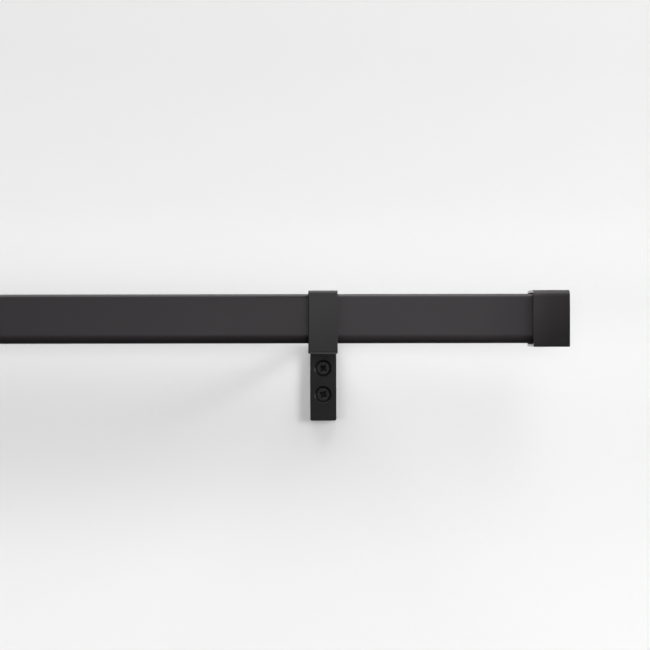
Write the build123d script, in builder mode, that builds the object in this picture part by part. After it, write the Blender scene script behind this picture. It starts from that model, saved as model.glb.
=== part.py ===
from build123d import *
from math import asin, cos, sin
import os

# Square telescoping curtain rod on two wall brackets.
# Millimetres. +X runs along the rod to the right, +Y into the wall, +Z up.
# The origin is on the wall face, midway between the right bracket's two screws.

# ---- where things stand ----
projection = 89.0          # wall face to the rod's axis
rod_z = 35.15              # rod's axis above the right bracket's screw pattern centre
closed_length = 711.2      # 28 in over the caps, tubes pushed together
travel = 508.0             # pulls out to 48 in
bracket_inset = 126.7      # bracket centre to the outside of the nearer cap

# ---- tubes ----
outer_side = 25.4
outer_wall = 0.8
outer_corner = 2.2         # upper edges
roll_radius = 5.5          # lower edges: a soft roll that ends in a crisp edge
roll_from = 8.2            # rod's axis down to where the roll starts
roll_edge = 0.05
flange_edge = 0.25         # the same edge on the guide's flange
in_bore_corner = 4.2       # lower corners of the pieces inside the outer tube
inner_side = 22.2
inner_wall = 0.7
inner_corner = 1.9
inner_low_corner = 3.2

# ---- end caps ----
cap_side = 29.2
cap_length = 18.8
cap_end_wall = 1.2
cap_cavity = 26.8
cap_corner = 3.5           # upper edges
cap_low_corner = 0.6
cap_bow = 0.4              # front and back stand this much proud at mid-height
cap_cavity_corner = 2.4
cap_end_edge = 0.4
cap_rim_edge = 0.2
boss_radius = 4.0
boss_length = 8.0
boss_bore = 1.5

# ---- cap plugs ----
flange_side = 26.6
flange_thick = 2.0
plug_length = 14.0
plug_core_less = 4.0
fin_thick = 1.8
fin_pitch = 4.2
fin_count = 3
fin_first = 1.6
skirt_length = 12.0
plug_screw_hole = 1.75
plug_head_recess = 3.4
plug_head_depth = 2.8

# ---- cap screws ----
cap_screw_radius = 1.47
cap_screw_head = 3.0
cap_screw_head_high = 2.1
cap_screw_reach = 11.6

# ---- sliding guide and glide ----
guide_bore = 22.5
guide_outside = 23.7
guide_flange = 1.2
mouth_gap = 5.25           # left collar to the guide's flange, tubes pushed together
glide_side = 23.5
glide_thick = 3.0
glide_plug = 16.0
stop_gap = 0.5             # glide to guide at full reach

# ---- brackets ----
bar_wide = 14.8
bar_thick = 3.0
bend_inside = 1.5
leg_below_axis = 57.4      # foot of the leg below the outer tube's axis
leg_foot_corner = 1.0
bar_edge = 0.3
arm_gap = 0.5              # outer tube's underside to the arm
screw_pitch = 14.9
screw_hole = 2.3
sink_radius = 4.9

# ---- collars ----
collar_wide = 15.1
strap = 1.8
collar_side_play = 0.1
collar_corner = 2.0
collar_low_corner = 1.2
collar_bow = 0.4
collar_cavity_corner = 0.5
collar_edge = 0.3
arm_slot_play = 0.3

# ---- set screws (M4) ----
set_radius = 1.98
set_bore = 2.0
set_clear = 2.3
set_key = 2.0              # across flats
set_key_deep = 2.0
set_long_right = 5.0
set_long_left = 8.0

# ---- wall screws ----
wall_head = 3.8
wall_head_rim = 0.2
wall_neck = 2.2
wall_stud = 2.05
wall_stud_long = 25.0
wall_tip = 4.5
wall_seat_gap = 0.03
cross_wide = 0.95
cross_long = 4.3
cross_deep = 1.9
cross_turn_upper = 41.0
cross_turn_lower = 33.0

# ---- worked out ----
outer_bore = outer_side - 2 * outer_wall
inner_bore = inner_side - 2 * inner_wall
right_end = bracket_inset
left_end = right_end - closed_length
left_bracket = left_end + bracket_inset
seat = cap_end_wall + flange_thick               # cap's outside to the tube's cut end
outer_x1 = right_end - seat
mouth = left_bracket + collar_wide / 2 + mouth_gap
outer_x0 = mouth + guide_flange
inner_x0 = left_end + seat
inner_x1 = outer_x1 - plug_length - 1.5 - glide_thick
guide_x1 = inner_x1 - travel - stop_gap
collar_deep = outer_side + 2 * (strap + collar_side_play)
cavity_high = outer_side + arm_gap + bar_thick
collar_high = cavity_high + 2 * strap
left_drop = (outer_side - inner_side) / 2         # the left bracket hangs this much lower

# planes at the two ends, looking into the rod, and the rod's own axis
right_plane = Plane(origin=(right_end, -projection, rod_z), x_dir=(0, 1, 0), z_dir=(-1, 0, 0))
left_plane = Plane(origin=(left_end, -projection, rod_z), x_dir=(0, 1, 0), z_dir=(1, 0, 0))


def section(x):
    """A plane across the rod at x, with its origin on the rod's axis."""
    return Plane(origin=(x, -projection, rod_z), x_dir=(0, 1, 0), z_dir=(1, 0, 0))


def outline(side, upper, lower, up=1):
    """A square with one radius for its upper two corners and one for its lower two; up is -1 on a plane drawn upside down."""
    half = side / 2
    with BuildSketch() as shape:
        Rectangle(side, side)
        for sign, radius in ((up, upper), (-up, lower)):
            fillet([v for v in shape.vertices() if abs(abs(v.X) - half) < 1e-6 and abs(v.Y - sign * half) < 1e-6], radius)
    return shape.sketch


def bowed(deep, high, upper, lower, bow, up=1):
    """A rectangle with rounded corners whose front and back are slightly bowed; up is -1 on a plane drawn upside down."""
    a, b = deep / 2, high / 2
    with BuildSketch() as shape:
        with BuildLine():
            ThreePointArc((a - bow, -b), (a, 0), (a - bow, b))
            Line((a - bow, b), (bow - a, b))
            ThreePointArc((bow - a, b), (-a, 0), (bow - a, -b))
            Line((bow - a, -b), (a - bow, -b))
        make_face()
        for sign, radius in ((up, upper), (-up, lower)):
            fillet([v for v in shape.vertices() if abs(v.Y - sign * b) < 1e-6 and abs(abs(v.X) - a + bow) < 1e-6], radius)
    return shape.sketch


def rolled(inset, edge=roll_edge):
    """The outer tube's outline, or its bore's when inset by the wall: the sides roll in towards a flat underside."""
    half = outer_side / 2 - inset
    radius = roll_radius - inset
    turn = asin((half - roll_from) / radius)
    centre = half - radius
    foot = centre + radius * cos(turn)
    midway = (centre + radius * cos(turn / 2), -roll_from - radius * sin(turn / 2))
    with BuildSketch() as shape:
        with BuildLine():
            Line((-foot, -half), (foot, -half))
            ThreePointArc((foot, -half), midway, (half, -roll_from))
            Polyline((half, -roll_from), (half, half), (-half, half), (-half, -roll_from))
            ThreePointArc((-half, -roll_from), (-midway[0], midway[1]), (-foot, -half))
        make_face()
        fillet([v for v in shape.vertices() if abs(v.Y - half) < 1e-6], outer_corner - inset)
        fillet([v for v in shape.vertices() if abs(v.Y + half) < 1e-6], edge)
    return shape.sketch


# ---------------------------------------------------------------- tubes
with BuildPart() as outer_tube:
    with BuildSketch(section(outer_x0)):
        add(rolled(0))
        add(rolled(outer_wall), mode=Mode.SUBTRACT)
    extrude(amount=outer_x1 - outer_x0)

with BuildPart() as inner_tube:
    with BuildSketch(section(inner_x0)):
        add(outline(inner_side, inner_corner, inner_low_corner))
        add(outline(inner_bore, inner_corner - inner_wall, inner_low_corner - inner_wall), mode=Mode.SUBTRACT)
    extrude(amount=inner_x1 - inner_x0)

# nylon sleeve in the outer tube's mouth, with a flange that covers the cut end
with BuildPart() as guide_sleeve:
    with BuildSketch(section(mouth)):
        add(rolled(0, flange_edge))
    extrude(amount=guide_flange)
    chamfer(guide_sleeve.faces().sort_by(Axis.X)[0].edges(), 0.2)
    with BuildSketch(section(outer_x0)):
        add(outline(guide_outside, 1.35, in_bore_corner))
    extrude(amount=guide_x1 - outer_x0)
    chamfer(guide_sleeve.faces().sort_by(Axis.X)[-1].edges(), 0.2)
    with BuildSketch(section(mouth)):
        add(outline(guide_bore, inner_corner + 0.15, inner_low_corner + 0.15))
    extrude(amount=guide_x1 - mouth, mode=Mode.SUBTRACT)

# nylon glide on the inner tube's hidden end: its head is wider than the sleeve's bore
with BuildPart() as tail_glide:
    with BuildSketch(section(inner_x1)):
        add(outline(glide_side, 1.5, in_bore_corner))
    extrude(amount=glide_thick)
    fillet(tail_glide.faces().sort_by(Axis.X)[-1].edges(), 0.6)
    with BuildSketch(section(inner_x1 - glide_plug)):
        add(outline(inner_bore - 0.1, 1.6, inner_low_corner - inner_wall))
    extrude(amount=glide_plug)
    chamfer(tail_glide.faces().sort_by(Axis.X)[0].edges(), 0.8)
    with BuildSketch(section(inner_x1 - glide_plug)):
        RectangleRounded(inner_bore - 4.0, inner_bore - 4.0, 1.0)
    extrude(amount=glide_plug + glide_thick - 2.0, mode=Mode.SUBTRACT)


# ---------------------------------------------------------------- caps
def end_cap(end):
    """A square cup with a bored boss on its floor."""
    along = Axis(end.origin, end.z_dir)
    with BuildPart() as cap:
        with BuildSketch(end):
            add(bowed(cap_side, cap_side, cap_corner, cap_low_corner, cap_bow, 1 if end.y_dir.Z > 0 else -1))
        extrude(amount=cap_length)
        fillet(cap.faces().sort_by(along)[0].edges(), cap_end_edge)
        fillet(cap.faces().sort_by(along)[-1].edges(), cap_rim_edge)
        with BuildSketch(end.offset(cap_end_wall)):
            RectangleRounded(cap_cavity, cap_cavity, cap_cavity_corner)
        extrude(amount=cap_length, mode=Mode.SUBTRACT)
        with BuildSketch(end.offset(cap_end_wall)):
            Circle(boss_radius)
            Circle(boss_bore, mode=Mode.SUBTRACT)
        extrude(amount=boss_length)
    return cap.part


def cap_plug(end, bore, bore_low_corner, skirt_bore=0):
    """Finned nylon plug with a flange between the tube's end and the cap's floor."""
    along = Axis(end.origin, end.z_dir)
    up = 1 if end.y_dir.Z > 0 else -1
    with BuildPart() as plug:
        with BuildSketch(end.offset(cap_end_wall)):
            RectangleRounded(flange_side, flange_side, cap_cavity_corner)
        extrude(amount=flange_thick)
        with BuildSketch(end.offset(seat)):
            RectangleRounded(bore - plug_core_less, bore - plug_core_less, 1.5)
        extrude(amount=plug_length)
        chamfer(plug.faces().sort_by(along)[-1].edges(), 0.6)
        for i in range(fin_count):
            with BuildSketch(end.offset(seat + fin_first + i * fin_pitch)):
                add(outline(bore - 0.1, 1.6, bore_low_corner, up))
            extrude(amount=fin_thick, taper=18)
        if skirt_bore:
            with BuildSketch(end.offset(seat)):
                RectangleRounded(flange_side, flange_side, cap_cavity_corner)
                add(outline(skirt_bore, inner_corner + 0.1, inner_low_corner + 0.1, up), mode=Mode.SUBTRACT)
            extrude(amount=skirt_length)
        with BuildSketch(end.offset(cap_end_wall)):
            Circle(boss_radius + 0.2)
        extrude(amount=boss_length + 0.2, mode=Mode.SUBTRACT)
        with BuildSketch(end.offset(cap_end_wall)):
            Circle(plug_screw_hole)
        extrude(amount=flange_thick + plug_length, mode=Mode.SUBTRACT)
        with BuildSketch(end.offset(seat + plug_length - plug_head_depth)):
            Circle(plug_head_recess)
        extrude(amount=plug_head_depth, mode=Mode.SUBTRACT)
    return plug.part


def cap_screw(end):
    """Pan-head screw through the plug into the cap's boss."""
    along = Axis(end.origin, end.z_dir)
    under = seat + plug_length - plug_head_depth
    with BuildPart() as screw:
        with BuildSketch(end.offset(under)):
            Circle(cap_screw_head)
        extrude(amount=cap_screw_head_high)
        fillet(screw.faces().sort_by(along)[-1].edges(), 0.9)
        with BuildSketch(end.offset(under - cap_screw_reach)):
            Circle(cap_screw_radius)
        extrude(amount=cap_screw_reach)
        chamfer(screw.faces().sort_by(along)[0].edges(), 0.5)
        with BuildSketch(end.offset(under + cap_screw_head_high - 1.3)):
            Rectangle(0.8, 3.4)
            Rectangle(3.4, 0.8)
        extrude(amount=1.3, mode=Mode.SUBTRACT)
    return screw.part


# ---------------------------------------------------------------- brackets
def bracket(x, drop):
    """One flat bar bent to an L: a leg on the wall and an arm that reaches under the rod."""
    arm_top = rod_z - outer_side / 2 - arm_gap - drop
    arm_low = arm_top - bar_thick
    foot = rod_z - leg_below_axis - drop
    tip = -projection - outer_side / 2 + 0.5
    with BuildPart() as bar:
        with BuildSketch(Plane.YZ.offset(x - bar_wide / 2)) as profile:
            with BuildLine():
                Polyline(
                    (0, foot), (0, arm_top), (tip, arm_top), (tip, arm_low),
                    (-bar_thick, arm_low), (-bar_thick, foot), close=True,
                )
            make_face()
            outside = [v for v in profile.vertices() if abs(v.X) < 1e-6 and abs(v.Y - arm_top) < 1e-6]
            fillet(outside, bend_inside + bar_thick)
            inside = [v for v in profile.vertices() if abs(v.X + bar_thick) < 1e-6 and abs(v.Y - arm_low) < 1e-6]
            fillet(inside, bend_inside)
        extrude(amount=bar_wide)
        fillet(bar.edges().filter_by(Axis.Y).group_by(Axis.Z)[0], leg_foot_corner)
        flats = bar.faces().filter_by(Axis.Y).sort_by(Axis.Y)
        fillet(flats[1].edges().filter_by(Axis.Z), bar_edge)
        flats = bar.faces().filter_by(Axis.Y).sort_by(Axis.Y)
        fillet(flats[-1].edges().filter_by(Axis.Z), bar_edge)
        with Locations(Plane(origin=(x, -bar_thick, -drop), x_dir=(1, 0, 0), z_dir=(0, -1, 0))):
            with GridLocations(0, screw_pitch, 1, 2):
                CounterSinkHole(screw_hole, sink_radius, counter_sink_angle=90)
        with Locations(Plane(origin=(x, -projection, arm_top), x_dir=(1, 0, 0), z_dir=(0, 0, 1))):
            Hole(set_bore, depth=bar_thick)
    return bar.part


def collar(x, drop):
    """Strap folded round the rod and the arm, open at the back where the arm comes in."""
    top = rod_z + outer_side / 2 + strap - drop
    arm_top = rod_z - outer_side / 2 - arm_gap - drop
    side = Plane(origin=(x - collar_wide / 2, -projection, top - collar_high / 2), x_dir=(0, 1, 0), z_dir=(1, 0, 0))
    with BuildPart() as loop:
        with BuildSketch(side):
            add(bowed(collar_deep, collar_high, collar_corner, collar_low_corner, collar_bow))
        extrude(amount=collar_wide)
        fillet(loop.faces().sort_by(Axis.X)[0].edges(), collar_edge)
        fillet(loop.faces().sort_by(Axis.X)[-1].edges(), collar_edge)
        with BuildSketch(side):
            RectangleRounded(collar_deep - 2 * strap, cavity_high, collar_cavity_corner)
        extrude(amount=collar_wide, mode=Mode.SUBTRACT)
        slot_high = bar_thick + arm_slot_play
        with BuildSketch(side):
            with Locations((collar_deep / 2, -cavity_high / 2 + slot_high / 2)):
                Rectangle(2 * strap + 2.0, slot_high)
        extrude(amount=collar_wide, mode=Mode.SUBTRACT)
        with Locations(Plane(origin=(x, -projection, top - collar_high + strap), x_dir=(1, 0, 0), z_dir=(0, 0, 1))):
            Hole(set_clear, depth=strap)
    return loop.part


def set_screw(x, top, length):
    """Grub screw that bears on the tube's underside, with a hexagon socket below."""
    low = Plane(origin=(x, -projection, top - length), x_dir=(1, 0, 0), z_dir=(0, 0, 1))
    with BuildPart() as grub:
        with BuildSketch(low):
            Circle(set_radius)
        extrude(amount=length)
        chamfer(grub.faces().sort_by(Axis.Z)[-1].edges(), 0.5)
        chamfer(grub.faces().sort_by(Axis.Z)[0].edges(), 0.3)
        with BuildSketch(low):
            RegularPolygon(set_key / 2, 6, major_radius=False)
        extrude(amount=set_key_deep, mode=Mode.SUBTRACT)
    return grub.part


def wall_screw(x, z, turn):
    """Countersunk cross-recess wood screw, its plain core standing in for the thread."""
    face = -bar_thick + (sink_radius - wall_head) - wall_head_rim - wall_seat_gap
    rim = face + wall_head_rim
    neck = rim + wall_head - wall_neck
    with BuildPart() as screw:
        with BuildSketch(Plane(origin=(x, 0, z), x_dir=(1, 0, 0), z_dir=(0, 0, 1))):
            with BuildLine():
                Polyline(
                    (0, face), (wall_head, face), (wall_head, rim), (wall_neck, neck), (wall_stud, 0),
                    (wall_stud, wall_stud_long), (0.25, wall_stud_long + wall_tip),
                    (0, wall_stud_long + wall_tip), close=True,
                )
            make_face()
        revolve(axis=Axis((x, 0, z), (0, 1, 0)))
        with BuildSketch(Plane(origin=(x, face, z), x_dir=(1, 0, 0), z_dir=(0, 1, 0))):
            with Locations(Rotation(0, 0, turn)):
                Rectangle(cross_wide, cross_long)
                Rectangle(cross_long, cross_wide)
        extrude(amount=cross_deep, taper=14, mode=Mode.SUBTRACT)
    return screw.part


right_arm_contact = rod_z - outer_side / 2
left_arm_contact = rod_z - inner_side / 2

pieces = {
    "outer_tube": outer_tube.part,
    "guide_sleeve": guide_sleeve.part,
    "right_end_cap": end_cap(right_plane),
    "right_cap_plug": cap_plug(right_plane, outer_bore, in_bore_corner),
    "right_cap_screw": cap_screw(right_plane),
    "right_bracket": bracket(0, 0),
    "right_collar": collar(0, 0),
    "right_set_screw": set_screw(0, right_arm_contact, set_long_right),
    "right_wall_screw_upper": wall_screw(0, screw_pitch / 2, cross_turn_upper),
    "right_wall_screw_lower": wall_screw(0, -screw_pitch / 2, cross_turn_lower),
    "inner_tube": inner_tube.part,
    "tail_glide": tail_glide.part,
    "left_end_cap": end_cap(left_plane),
    "left_cap_plug": cap_plug(left_plane, inner_bore, inner_low_corner - inner_wall, inner_side + 0.2),
    "left_cap_screw": cap_screw(left_plane),
    "left_bracket": bracket(left_bracket, left_drop),
    "left_collar": collar(left_bracket, left_drop),
    "left_set_screw": set_screw(left_bracket, left_arm_contact, set_long_left),
    "left_wall_screw_upper": wall_screw(left_bracket, screw_pitch / 2 - left_drop, 18.0),
    "left_wall_screw_lower": wall_screw(left_bracket, -screw_pitch / 2 - left_drop, 62.0),
}

os.makedirs("parts", exist_ok=True)
for name, piece in pieces.items():
    piece.label = name
    export_step(piece, f"parts/{name}.step")
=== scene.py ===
import math

import bmesh
import bpy
from mathutils import Matrix, Vector


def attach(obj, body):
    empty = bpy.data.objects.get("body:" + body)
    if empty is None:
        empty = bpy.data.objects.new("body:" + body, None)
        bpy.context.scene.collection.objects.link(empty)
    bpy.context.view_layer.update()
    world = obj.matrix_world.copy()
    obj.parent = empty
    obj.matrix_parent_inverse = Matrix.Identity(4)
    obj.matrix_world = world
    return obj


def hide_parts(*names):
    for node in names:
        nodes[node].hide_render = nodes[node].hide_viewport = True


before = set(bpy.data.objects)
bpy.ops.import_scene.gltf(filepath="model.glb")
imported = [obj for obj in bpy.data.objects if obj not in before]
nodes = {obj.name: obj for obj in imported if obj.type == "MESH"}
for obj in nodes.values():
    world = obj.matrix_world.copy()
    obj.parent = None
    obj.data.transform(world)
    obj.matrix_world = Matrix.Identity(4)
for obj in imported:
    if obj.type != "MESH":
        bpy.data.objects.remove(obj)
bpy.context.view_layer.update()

MM = 0.001

scene = bpy.context.scene
scene.view_settings.view_transform = "Standard"
scene.view_settings.look = "None"
scene.view_settings.exposure = 0.0
scene.view_settings.gamma = 1.0


# ------------------------------------------------------------------ camera
# square on to the wall, a little below the rod's axis, with a slight roll
ROLL = math.radians(0.09)
cam_data = bpy.data.cameras.new("camera")
cam_data.sensor_fit = "HORIZONTAL"
cam_data.sensor_width = 36.0
cam_data.lens = 102.67
cam_data.clip_start = 0.01
cam_data.clip_end = 100.0
camera = bpy.data.objects.new("camera", cam_data)
camera.matrix_world = Matrix((
    (math.cos(ROLL), math.sin(ROLL), 0.0, 0.00105),
    (0.0, 0.0, -1.0, -1.0535),
    (-math.sin(ROLL), math.cos(ROLL), 0.0, 0.03193),
    (0.0, 0.0, 0.0, 1.0),
))
scene.collection.objects.link(camera)
scene.camera = camera


# --------------------------------------------------------------- materials
class Nodes:
    """Small helper for writing a node tree in the order it is read."""

    def __init__(self, name):
        self.mat = bpy.data.materials.new(name)
        self.mat.use_nodes = True
        self.tree = self.mat.node_tree
        self.tree.nodes.clear()
        self.out = self.add("ShaderNodeOutputMaterial")
        self.where = self.add("ShaderNodeTexCoord").outputs["Object"]

    def add(self, kind, **props):
        n = self.tree.nodes.new(kind)
        for k, v in props.items():
            setattr(n, k, v)
        return n

    def link(self, a, b):
        self.tree.links.new(a, b)

    def stretch(self, sx, sy, sz):
        m = self.add("ShaderNodeMapping")
        m.inputs["Scale"].default_value = (sx, sy, sz)
        self.link(self.where, m.inputs["Vector"])
        return m.outputs["Vector"]

    def axis(self, name):
        n = self.add("ShaderNodeSeparateXYZ")
        self.link(self.where, n.inputs["Vector"])
        return n.outputs[name]

    def across(self, x, z):
        """Distance from the line along Y at x, z."""
        n = self.add("ShaderNodeVectorMath", operation="MULTIPLY")
        n.inputs[1].default_value = (1.0, 0.0, 1.0)
        self.link(self.where, n.inputs[0])
        d = self.add("ShaderNodeVectorMath", operation="DISTANCE")
        d.inputs[1].default_value = (x, 0.0, z)
        self.link(n.outputs[0], d.inputs[0])
        return d.outputs["Value"]

    def noise(self, scale, detail=2.0, rough=0.5, where=None):
        n = self.add("ShaderNodeTexNoise")
        n.inputs["Scale"].default_value = scale
        n.inputs["Detail"].default_value = detail
        n.inputs["Roughness"].default_value = rough
        self.link(where or self.where, n.inputs["Vector"])
        return n.outputs["Fac"]

    def cells(self, scale, randomness=1.0):
        n = self.add("ShaderNodeTexVoronoi")
        n.inputs["Scale"].default_value = scale
        n.inputs["Randomness"].default_value = randomness
        self.link(self.where, n.inputs["Vector"])
        return n.outputs["Distance"]

    def span(self, fac, a, b, lo=0.25, hi=0.75):
        n = self.add("ShaderNodeMapRange")
        n.inputs["From Min"].default_value = lo
        n.inputs["From Max"].default_value = hi
        n.inputs["To Min"].default_value = a
        n.inputs["To Max"].default_value = b
        self.link(fac, n.inputs["Value"])
        return n.outputs["Result"]

    def ramp(self, fac, stops, smooth=False):
        n = self.add("ShaderNodeValToRGB")
        r = n.color_ramp
        r.interpolation = "CARDINAL" if smooth else "LINEAR"
        while len(r.elements) < len(stops):
            r.elements.new(0.5)
        for e, (p, c) in zip(r.elements, stops):
            e.position = p
            e.color = (*c, 1.0)
        self.link(fac, n.inputs["Fac"])
        return n.outputs["Color"]

    def mix(self, fac, a, b, how="MIX"):
        n = self.add("ShaderNodeMix", data_type="RGBA", blend_type=how)
        for sock, v in ((n.inputs[0], fac), (n.inputs[6], a), (n.inputs[7], b)):
            if isinstance(v, (int, float)):
                sock.default_value = v
            elif isinstance(v, tuple):
                sock.default_value = (*v, 1.0)
            else:
                self.link(v, sock)
        return n.outputs[2]

    def math(self, op, a, b):
        n = self.add("ShaderNodeMath", operation=op)
        for sock, v in ((n.inputs[0], a), (n.inputs[1], b)):
            if isinstance(v, (int, float)):
                sock.default_value = v
            else:
                self.link(v, sock)
        return n.outputs[0]

    def bump(self, height, distance, strength=1.0, under=None):
        n = self.add("ShaderNodeBump")
        n.inputs["Strength"].default_value = strength
        n.inputs["Distance"].default_value = distance
        self.link(height, n.inputs["Height"])
        if under is not None:
            self.link(under, n.inputs["Normal"])
        return n.outputs["Normal"]

    def surface(self, colour, rough, normal, specular=0.5, ior=1.5, metallic=0.0):
        p = self.add("ShaderNodeBsdfPrincipled")
        self.link(colour, p.inputs["Base Color"])
        self.link(rough, p.inputs["Roughness"])
        if normal is not None:
            self.link(normal, p.inputs["Normal"])
        p.inputs["Specular IOR Level"].default_value = specular
        p.inputs["IOR"].default_value = ior
        p.inputs["Metallic"].default_value = metallic
        self.link(p.outputs["BSDF"], self.out.inputs["Surface"])
        return self.mat


MID_X = -0.2289          # half way between the caps, tubes pushed together
CAP_RIM = 0.3368         # from there to a cap's open rim
CAP_END = 0.3556         # and to its closed end
CAP_LOW = 0.02055        # the caps' underside
SCREWS = [(0.0, 0.00745), (0.0, -0.00745), (-0.4578, 0.00585), (-0.4578, -0.00905)]
COLLAR_EDGES = [-0.00755, -0.46535]     # left edges of the two collars
ROD_LOW = 0.02245        # the outer tube's underside; the inner one's is 1.6 mm higher
STRAP_LOW = 0.01715      # the right collar's underside; the left one hangs 1.6 mm lower


def powder_coat(name, dark, light, rough, specular, spread=0.04, peel=1.0, tube=None, cap=False, sinks=False, strap=False):
    """Matte powder coat: slow random drift in shade, orange peel about 1.5 mm across and a fine grain of fused powder.

    A cap's coat is smoother on the open rim, and painted shade darkens it downwards and towards the closed end;
    a bracket's coat has painted shade darkening it towards the foot and in the countersinks, which are also rougher,
    and a painted glint on one side of each countersink's rim, which is also smoother there;
    a strap's coat has painted shade darkening it downwards, a smoother lower edge carrying a painted highlight line
    and a painted shadow line along each collar's left edge;
    a tube's coat has faint draw lines along it, painted shade along its lower edges, painted shadow lines beside a
    collar's left edge and the cap's rim, and painted light and shade along X.
    For a tube: the height of its underside, the painted shadow lines as (X, least shade, reach), and the painted light
    and shade along X as multipliers."""
    n = Nodes(name)
    slow = n.noise(14.0, 2.0)
    fine = n.noise(5200.0, 3.0, 0.6)
    peel_f = n.noise(620.0, 2.0, 0.45)
    speck = n.cells(2600.0)
    shade = n.ramp(slow, [(0.3, dark), (0.7, light)])
    base_colour = n.mix(0.35, shade, n.ramp(fine, [(0.25, tuple(c * 0.78 for c in dark)), (0.75, tuple(c * 1.18 for c in light))]))
    if tube:
        low, places, drift = tube
        draw = n.noise(90.0, 3.0, 0.55, n.stretch(0.05, 1.0, 1.0))
        base_colour = n.mix(0.18, base_colour, n.ramp(draw, [(0.3, dark), (0.7, light)]))
        # painted light and shade: the tube's colour is scaled along X, darker left of the collar, lighter right of it
        # and darker again near the cap
        if drift:
            base_colour = n.mix(1.0, base_colour, n.ramp(n.span(n.axis("X"), 0.0, 1.0, -0.20, 0.12), [(at, (v, v, v)) for at, v in drift]), "MULTIPLY")
        # painted shade: the tube's colour darkens along its lower edges, and painted shadow lines darken it just left
        # of each listed edge
        deep = n.span(n.axis("Z"), 0.35, 1.0, low + 0.0006, low + 0.0022)
        for edge, least, reach in places:
            beside = n.math("SUBTRACT", edge, n.axis("X"))
            line = n.math("ADD", n.span(beside, least, 1.0, 0.0004, reach), n.math("LESS_THAN", beside, -0.001))
            deep = n.math("MULTIPLY", deep, n.math("MINIMUM", line, 1.0))
        base_colour = n.mix(1.0, base_colour, deep, "MULTIPLY")
    r = n.math("ADD", n.span(slow, rough - spread, rough + spread), n.span(fine, -0.03, 0.03))
    if cap:
        out = n.math("ABSOLUTE", n.math("SUBTRACT", n.axis("X"), MID_X), 0.0)
        # painted shade: the cap's colour darkens towards its closed end
        cap_painted_shade = [(0.0, 1.0), (0.16, 0.87), (0.43, 0.61), (0.73, 0.50), (1.0, 0.47)]
        base_colour = n.mix(1.0, base_colour, n.ramp(n.span(out, 0.0, 1.0, CAP_RIM, CAP_END), [(at, (v, v, v)) for at, v in cap_painted_shade]), "MULTIPLY")
        # painted shade: the cap's colour darkens downwards
        base_colour = n.mix(1.0, base_colour, n.span(n.axis("Z"), 0.52, 1.0, CAP_LOW + 0.001, CAP_LOW + 0.0215), "MULTIPLY")
        r = n.math("MULTIPLY", r, n.span(out, 0.2, 1.0, CAP_RIM + 0.0001, CAP_RIM + 0.0003))
    if sinks:
        near = None
        for x, z in SCREWS:
            gap = n.across(x, z)
            near = gap if near is None else n.math("MINIMUM", near, gap)
        # painted shade: the bracket's colour darkens towards the foot and is lighter higher up
        base_colour = n.mix(1.0, base_colour, n.span(n.axis("Z"), 0.70, 1.12, -0.0223, 0.012), "MULTIPLY")
        front = n.math("LESS_THAN", n.axis("Y"), -0.0004)
        # painted shade: the countersinks on the room side are darkened to 0.12 of the coat's dark colour, and made
        # rougher
        painted_sink_shade = n.math("MULTIPLY", n.span(near, 1.0, 0.0, 0.0044, 0.0046), front)
        base_colour = n.mix(painted_sink_shade, base_colour, tuple(c * 0.12 for c in dark))
        r = n.math("ADD", r, n.math("MULTIPLY", painted_sink_shade, 0.4))
        rim = n.math("MULTIPLY", n.span(near, 0.0, 1.0, 0.0045, 0.0046), n.math("MULTIPLY", n.math("LESS_THAN", near, 0.0050), front))
        for x, z in SCREWS:
            # painted glint: a spot on the left-hand rim of each countersink is 8.5 times the coat's light colour, and
            # smoother
            rim_glint = n.math("MULTIPLY", rim, n.span(n.across(x - 0.00465, z - 0.0010), 1.0, 0.0, 0.0009, 0.0015))
            r = n.math("SUBTRACT", r, n.math("MULTIPLY", rim_glint, 0.22))
            base_colour = n.mix(rim_glint, base_colour, tuple(c * 8.5 for c in light))
    if strap:
        up = n.math("ADD", n.axis("Z"), n.math("MULTIPLY", n.math("LESS_THAN", n.axis("X"), MID_X), 0.0016))
        low = n.span(up, 0.18, 1.0, STRAP_LOW + 0.0010, STRAP_LOW + 0.0013)
        r = n.math("MULTIPLY", r, low)
        # painted shade: the strap's colour darkens downwards over its lower 26 mm
        base_colour = n.mix(1.0, base_colour, n.span(up, 0.77, 1.0, STRAP_LOW, STRAP_LOW + 0.026), "MULTIPLY")
        # painted highlight: the strap's lowest millimetre is four times brighter
        base_colour = n.mix(1.0, base_colour, n.span(up, 4.0, 1.0, STRAP_LOW + 0.0007, STRAP_LOW + 0.0010), "MULTIPLY")
        # painted shadow: a line along each collar's left edge is darkened to 0.1 and made rougher
        for edge in COLLAR_EDGES:
            inward = n.math("SUBTRACT", n.axis("X"), edge)
            edge_shadow = n.math("MINIMUM", n.math("ADD", n.span(inward, 0.10, 1.0, 0.00025, 0.0005), n.math("LESS_THAN", inward, -0.001)), 1.0)
            base_colour = n.mix(1.0, base_colour, edge_shadow, "MULTIPLY")
            r = n.math("ADD", r, n.span(edge_shadow, 0.4, 0.0, 0.0, 1.0))
    coarse = n.bump(peel_f, 0.000016, 0.55 * peel)
    mid = n.bump(speck, 0.000005, 0.4 * peel, coarse)
    tip = n.bump(fine, 0.000004, 0.5 * peel, mid)
    return n.surface(base_colour, r, tip, specular)


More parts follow.
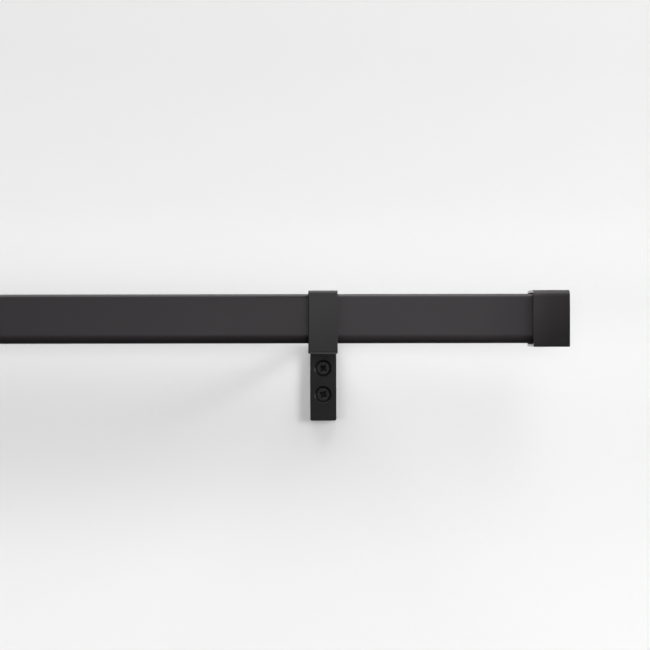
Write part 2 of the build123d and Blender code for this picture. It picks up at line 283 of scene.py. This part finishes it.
def screw_black(name):
    """Black coated steel: thin coat, faint turning rings of wear and a slightly smoother sheen."""
    n = Nodes(name)
    slow = n.noise(420.0, 3.0, 0.55)
    fine = n.noise(9000.0, 2.0, 0.6)
    shade = n.ramp(slow, [(0.3, (0.0054, 0.0054, 0.0055)), (0.7, (0.0108, 0.0106, 0.0108))])
    base_colour = n.mix(0.3, shade, n.ramp(fine, [(0.3, (0.004, 0.004, 0.0041)), (0.7, (0.0142, 0.0139, 0.0142))]))
    r = n.math("ADD", n.span(slow, 0.36, 0.48), n.span(fine, -0.04, 0.04))
    b = n.bump(fine, 0.000004, 0.6, n.bump(slow, 0.00001, 0.4))
    return n.surface(base_colour, r, b, 0.172)


def nylon_black(name):
    """Moulded black nylon: fine spark-eroded texture and soft flow marks."""
    n = Nodes(name)
    flow = n.noise(60.0, 2.0, 0.5, n.stretch(0.4, 1.0, 1.0))
    fine = n.noise(3800.0, 3.0, 0.6)
    shade = n.ramp(flow, [(0.3, (0.019, 0.019, 0.0195)), (0.7, (0.028, 0.028, 0.0285))])
    base_colour = n.mix(0.25, shade, n.ramp(fine, [(0.3, (0.014, 0.014, 0.0145)), (0.7, (0.034, 0.034, 0.0345))]))
    r = n.math("ADD", n.span(flow, 0.48, 0.58), n.span(fine, -0.04, 0.04))
    return n.surface(base_colour, r, n.bump(fine, 0.000008, 0.6), ior=1.53)


# painted shadow lines on the outer tube, as (X, least shade, reach): left of the collar and at the cap's rim
outer_tube_painted_shadows = [(COLLAR_EDGES[0], 0.10, 0.0021), (MID_X + CAP_RIM, 0.25, 0.0012)]
# painted light and shade along the outer tube: colour multipliers by X
outer_tube_painted_light = [(0.05, 0.72), (0.42, 0.72), (0.58, 0.60), (0.67, 0.92), (0.88, 0.99), (0.96, 0.70)]
tube_coat = powder_coat("powder_coat_tube", (0.0274, 0.0237, 0.0263), (0.0321, 0.0278, 0.0308), 0.42, 0.180,
                        tube=(ROD_LOW, outer_tube_painted_shadows, outer_tube_painted_light))
# painted shade: the inner tube's colours are the outer tube's times 0.72, as its painted shade at the left end; its
# lower edges and left collar edge get painted shade and a painted shadow line
inner_coat = powder_coat("powder_coat_inner_tube", (0.0197, 0.0171, 0.0189), (0.0231, 0.0200, 0.0222), 0.42, 0.180,
                         tube=(ROD_LOW + 0.0016, [(COLLAR_EDGES[1], 0.10, 0.0021)], None))
strap_coat = powder_coat("powder_coat_strap", (0.0194, 0.0192, 0.0207), (0.0220, 0.0218, 0.0235), 0.45, 0.180, strap=True)
# painted shade: the bracket's colours are set at about 0.4 of the strap's same coat, for the shade the rod and collar
# throw on the leg
bracket_coat = powder_coat("powder_coat_bracket", (0.0076, 0.0074, 0.0076), (0.0092, 0.0090, 0.0091), 0.50, 0.176, sinks=True)
cap_coat = powder_coat("powder_coat_cap", (0.0246, 0.0206, 0.0217), (0.0276, 0.0232, 0.0243), 0.50, 0.165, peel=0.7, cap=True)
screw_coat = screw_black("screw_black")
nylon = nylon_black("nylon_black")

finish_of = {
    "outer_tube": tube_coat, "inner_tube": inner_coat,
    "right_end_cap": cap_coat, "left_end_cap": cap_coat,
    "right_bracket": bracket_coat, "left_bracket": bracket_coat,
    "right_collar": strap_coat, "left_collar": strap_coat,
    "guide_sleeve": nylon, "tail_glide": nylon, "right_cap_plug": nylon, "left_cap_plug": nylon,
    "right_cap_screw": screw_coat, "left_cap_screw": screw_coat,
}
for name, mat in finish_of.items():
    data = nodes[name].data
    data.materials.clear()
    data.materials.append(mat)


# ------------------------------------------------------------------ screws
def cross_outline(half_long, half_wide, root):
    """Distance from the centre to the edge of a cross-shaped recess, by angle; its inner corners are rounded."""

    def edge(t):
        t = t % (math.pi / 2)
        if t > math.pi / 4:
            t = math.pi / 2 - t
        c, s = math.cos(t), math.sin(t)
        r = half_long / c
        if s > 1e-9:
            r = min(r, half_wide / s)
        if r * c < half_wide + root and s > 1e-9:
            k = (half_wide + root) * (c + s)
            gap = k * k - 2 * (half_wide + root) ** 2 + root * root
            if gap > 0:
                r = k - math.sqrt(gap)
        return r

    return edge


def hex_outline(flats):
    """Distance from the centre to the edge of a hexagon with a corner at angle 0."""

    def edge(t):
        return flats / 2 / math.cos((t % (math.pi / 3)) - math.pi / 6)

    return edge


def angle_steps(marks, widest):
    """Angles round the circle that hold every mark, with no step wider than asked."""
    marks = sorted(set(round(m % (2 * math.pi), 7) for m in marks))
    out = []
    for a, b in zip(marks, marks[1:] + [marks[0] + 2 * math.pi]):
        k = max(1, math.ceil((b - a) / widest))
        out += [a + (b - a) * i / k for i in range(k)]
    return out


def build_screw(name, angles, head_rings, hub_along, thread, place, body, node):
    """head_rings run from the recess's floor, over the head, to the plain neck. The thread climbs from there to the point."""
    start, end, pitch, shape, root, crest, tip_along = thread
    verts, faces = [], []
    count = len(angles)

    def put(r, y, t):
        verts.append(place(r, y, t))
        return len(verts) - 1

    hub = put(0.0, hub_along, 0.0)
    loops = [[put(*spec(t), t) for t in angles] for spec in head_rings]
    for i in range(count):
        j = (i + 1) % count
        faces.append((hub, loops[0][j], loops[0][i]))
        for a, b in zip(loops, loops[1:]):
            faces.append((a[i], a[j], b[j], b[i]))

    # the thread's rows, each one a helix; a row is held at the thread's start and end planes
    per = len(shape)
    turns = math.ceil((end - start) / pitch) + 1
    rows = [(k, f, h) for k in range(-1, turns) for f, h in shape]
    grid = []
    for k, f, h in rows:
        line = []
        for t in angles:
            y = start + pitch * (k + f + (t - angles[0]) / (2 * math.pi))
            held = min(max(y, start), end)
            r = root(held) + (crest(held) - root(held)) * (h if start < y < end else 0.0)
            line.append((r, held))
        grid.append(line)
    index = {}
    last = loops[-1]

    def vertex(row, i):
        if i == count:
            row, i = row + per, 0
        if row >= len(rows):
            return end_loop[i]
        r, y = grid[row][i]
        if y <= start + 1e-9:
            return last[i]
        if y >= end - 1e-9:
            return end_loop[i]
        if (row, i) not in index:
            index[row, i] = put(r, y, angles[i])
        return index[row, i]

    end_loop = [put(root(end), end, t) for t in angles]
    for row in range(len(rows)):
        for i in range(count):
            quad = [vertex(row, i), vertex(row, i + 1), vertex(row + 1, i + 1) if row + 1 < len(rows) else end_loop[(i + 1) % count],
                    vertex(row + 1, i) if row + 1 < len(rows) else end_loop[i]]
            face = []
            for v in quad:
                if v not in face:
                    face.append(v)
            if len(face) > 2:
                faces.append(tuple(face))
    point = put(0.0, tip_along, 0.0)
    for i in range(count):
        faces.append((end_loop[i], end_loop[(i + 1) % count], point))

    mesh = bpy.data.meshes.new(name)
    mesh.from_pydata(verts, [], faces)
    work = bmesh.new()
    work.from_mesh(mesh)
    bmesh.ops.remove_doubles(work, verts=work.verts, dist=1e-7)
    bmesh.ops.dissolve_degenerate(work, edges=work.edges, dist=1e-7)
    bmesh.ops.recalc_face_normals(work, faces=work.faces)
    work.to_mesh(mesh)
    work.free()
    obj = bpy.data.objects.new(name, mesh)
    scene.collection.objects.link(obj)
    mesh.materials.append(screw_coat)
    mesh.shade_smooth()
    mesh.set_sharp_from_angle(angle=math.radians(28))
    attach(obj, body)
    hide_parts(node)
    return obj


def wall_screw(name, x, z, turn, body, node):
    """Countersunk wood screw along +Y: cross recess, flat head with a softened rim, plain neck, coarse thread, sharp point."""
    turn = math.radians(turn)
    face, rim, head = -2.0, -1.8, 3.6
    wide, deep = 0.56, 1.9
    mouth = cross_outline(2.15, wide, 0.42)
    waist = cross_outline(1.62, wide * 0.92, 0.40)
    floor = cross_outline(0.92, wide * 0.80, 0.30)
    marks = []
    for q in range(4):
        for t in (0.0, math.atan2(wide, 2.15), math.atan2(wide, wide + 0.42)):
            marks += [q * math.pi / 2 + t, q * math.pi / 2 - t]
        marks += [q * math.pi / 2 + math.pi / 4]
    angles = angle_steps(marks, math.radians(3.2))
    rings = [
        lambda t: (floor(t) * 0.9, face + deep),
        lambda t: (floor(t), face + deep - 0.1),
        lambda t: (waist(t), face + 0.85),
        lambda t: (mouth(t), face + 0.07),
        lambda t: (mouth(t) + 0.022, face + 0.02),
        lambda t: (mouth(t) + 0.07, face),
        lambda t: (max(mouth(t) + 0.14, 2.75), face - 0.0),
        lambda t: (3.35, face),
        lambda t: (head - 0.10, face),
        lambda t: (head - 0.03, face + 0.03),
        lambda t: (head, face + 0.10),
        lambda t: (head, rim),
        lambda t: (2.2, -0.33),
        lambda t: (2.05, 0.0),
        lambda t: (2.05, 1.2),
        lambda t: (1.45, 2.2),
    ]

    def root(y):
        if y < 23.0:
            return 1.45
        return max(0.12, 1.45 * (29.2 - y) / 6.2)

    def crest(y):
        rise = min(1.0, max(0.0, (y - 2.2) / 2.2))
        full = 2.05 if y < 25.0 else 0.22 + (2.05 - 0.22) * (29.5 - y) / 4.5
        return root(y) + max(0.0, full - root(y)) * rise

    shape = [(0.0, 0.0), (0.30, 0.0), (0.46, 0.92), (0.50, 1.0), (0.54, 0.92), (0.70, 0.0)]

    def place(r, y, t):
        a = t + turn
        return ((x + r * math.cos(a)) * MM, y * MM, (z - r * math.sin(a)) * MM)

    return build_screw(name, angles, rings, face + deep + 0.25, (2.2, 29.2, 2.75, shape, root, crest, 29.5), place, body, node)


def grub_screw(name, x, y, top, length, body, node):
    """M4 grub screw along Z: hexagon socket below, fine thread, chamfered ends."""
    low = top - length
    socket = hex_outline(2.0)
    angles = angle_steps([i * math.pi / 6 for i in range(12)], math.radians(5.0))
    rings = [
        lambda t: (socket(t) * 0.96, 2.0),
        lambda t: (socket(t), 1.9),
        lambda t: (socket(t), 0.12),
        lambda t: (socket(t) + 0.05, 0.03),
        lambda t: (socket(t) + 0.16, 0.0),
        lambda t: (1.62, 0.0),
        lambda t: (1.66, 0.02),
    ]

    def root(s):
        return min(1.66, 1.66 - 0.5 * (s - (length - 0.3)) / 0.3 if s > length - 0.3 else 1.66)

    def crest(s):
        lead = min(1.98, 1.68 + s, 1.68 + max(0.0, (length - s)) * 0.9)
        return max(root(s), lead)

    shape = [(0.0, 0.0), (0.12, 0.0), (0.50, 1.0), (0.62, 1.0)]

    def place(r, s, t):
        return ((x + r * math.cos(t)) * MM, (y + r * math.sin(t)) * MM, (low + s) * MM)

    return build_screw(name, angles, rings, 2.3, (0.02, length - 0.02, 0.7, shape, root, crest, length), place, body, node)


LEFT_X = -457.8
DROP = 1.6
wall_screw("right_upper_screw_threaded", 0.0, 7.45, 41.0, "outer", "right_wall_screw_upper")
wall_screw("right_lower_screw_threaded", 0.0, -7.45, 33.0, "outer", "right_wall_screw_lower")
wall_screw("left_upper_screw_threaded", LEFT_X, 7.45 - DROP, 18.0, "inner", "left_wall_screw_upper")
wall_screw("left_lower_screw_threaded", LEFT_X, -7.45 - DROP, 62.0, "inner", "left_wall_screw_lower")
grub_screw("right_grub_screw_threaded", 0.0, -89.0, 22.45, 5.0, "outer", "right_set_screw")
grub_screw("left_grub_screw_threaded", LEFT_X, -89.0, 24.05, 8.0, "inner", "left_set_screw")


# ------------------------------------------------------------------- stage
def one_sided(name, colour, painted_shading=((0.0, 1.0), (1.0, 1.0)), glow=0.0):
    """Matte pale paint on the side that faces the room, with painted shading by height from Z -0.30 to 0.40; from
    behind the sheet isn't there.
    """
    n = Nodes(name)
    fine = n.noise(260.0, 3.0, 0.5)
    d = n.add("ShaderNodeBsdfDiffuse")
    paint = n.ramp(fine, [(0.3, tuple(c * 0.996 for c in colour)), (0.7, colour)])
    height = n.span(n.axis("Z"), 0.0, 1.0, -0.30, 0.40)
    n.link(n.mix(1.0, paint, n.ramp(height, [(at, (v, v, v)) for at, v in painted_shading], True), "MULTIPLY"), d.inputs["Color"])
    face = d.outputs[0]
    if glow:
        e = n.add("ShaderNodeEmission")
        e.inputs["Strength"].default_value = glow
        n.link(paint, e.inputs["Color"])
        both = n.add("ShaderNodeAddShader")
        n.link(face, both.inputs[0])
        n.link(e.outputs[0], both.inputs[1])
        face = both.outputs[0]
    clear = n.add("ShaderNodeBsdfTransparent")
    side = n.add("ShaderNodeNewGeometry").outputs["Backfacing"]
    m = n.add("ShaderNodeMixShader")
    n.link(side, m.inputs[0])
    n.link(face, m.inputs[1])
    n.link(clear.outputs[0], m.inputs[2])
    n.link(m.outputs[0], n.out.inputs["Surface"])
    return n.mat


def sheet(name, profile, x0, x1, mat):
    """A strip swept along X from (y, z) points, facing the room."""
    verts = [(x, y, z) for y, z in profile for x in (x0, x1)]
    faces = [(2 * i, 2 * i + 1, 2 * i + 3, 2 * i + 2) for i in range(len(profile) - 1)]
    mesh = bpy.data.meshes.new(name)
    mesh.from_pydata(verts, [], faces)
    mesh.materials.append(mat)
    mesh.shade_smooth()
    obj = bpy.data.objects.new(name, mesh)
    scene.collection.objects.link(obj)
    return obj


# painted shading on the wall by height: lighter low down, a darker painted shadow band just below the rod, darker
# towards the top
WALL_PAINTED_SHADING = ((0.0, 0.99), (0.214, 0.97), (0.303, 0.912), (0.397, 0.874), (0.50, 0.884), (0.573, 0.803), (0.686, 0.73), (1.0, 0.70))
WALL_Y = 0.0002
FLOOR_Z = -1.5
COVE = 0.35
wall = sheet("wall", [(WALL_Y, FLOOR_Z + COVE), (WALL_Y, 6.0)], -7.0, 7.0, one_sided("wall_paint", (0.922, 0.922, 0.922), WALL_PAINTED_SHADING))
cove = [(WALL_Y - COVE + COVE * math.cos(a), FLOOR_Z + COVE - COVE * math.sin(a)) for a in [math.pi / 2 * (1 - i / 16) for i in range(17)]]
floor = sheet("floor", [(-9.0, FLOOR_Z)] + cove, -7.0, 7.0, one_sided("floor_paint", (0.84, 0.84, 0.84), glow=0.66))
wall.visible_shadow = False
floor.visible_diffuse = False
floor.visible_glossy = False


# ------------------------------------------------------------------ lights
def softbox(name, at, aim, wide, high, power, tint=(1.0, 1.0, 1.0)):
    data = bpy.data.lights.new(name, "AREA")
    data.shape = "RECTANGLE"
    data.size = wide
    data.size_y = high
    data.energy = power
    data.color = tint
    obj = bpy.data.objects.new(name, data)
    obj.matrix_world = Matrix.Translation(at) @ (Vector(aim) - Vector(at)).to_track_quat("-Z", "Y").to_matrix().to_4x4()
    scene.collection.objects.link(obj)
    return obj


AIM = Vector((0.0, -0.05, 0.02))


def round_about(azimuth, elevation, reach=2.0):
    """A place in the room seen from the bracket: azimuth to the right, elevation up, in degrees."""
    a, e = math.radians(azimuth), math.radians(elevation)
    return AIM + reach * Vector((math.sin(a) * math.cos(e), -math.cos(a) * math.cos(e), math.sin(e)))


LIGHTS = [
    ("overhead", AIM + Vector((0.0, -0.15, 1.5)), AIM, 1.60, 0.36, 39.0),
    ("key_right", round_about(66, 12), AIM, 0.60, 1.10, 36.7),
    ("fill_left", round_about(-66, 4), AIM, 0.60, 1.60, 12.0),
    ("fill_left_high", round_about(-66, 60), AIM, 0.70, 0.70, 6.6),
    ("fill_left_front", round_about(-40, -5), AIM, 0.60, 0.60, 5.8),
    ("fill_high", round_about(14, 34), AIM, 0.60, 1.10, 7.6),
    ("front", round_about(0, 2), AIM, 0.55, 0.26, 8.3),
    # behind the wall, for the sides that lie against it or face it
    ("back", Vector((MID_X, 2.0, 0.25)), Vector((MID_X, 0.0, 0.02)), 1.80, 0.80, 14.0),
]
for light in LIGHTS:
    softbox(*light)

world = bpy.data.worlds.new("studio")
scene.world = world
world.use_nodes = True
sky = world.node_tree.nodes["Background"]
sky.inputs["Color"].default_value = (1.0, 1.0, 1.0, 1.0)
sky.inputs["Strength"].default_value = 0.8
# a pale surround for views from behind; it gives no light of its own
for kind in ("diffuse", "glossy", "transmission", "scatter"):
    setattr(world.cycles_visibility, kind, False)
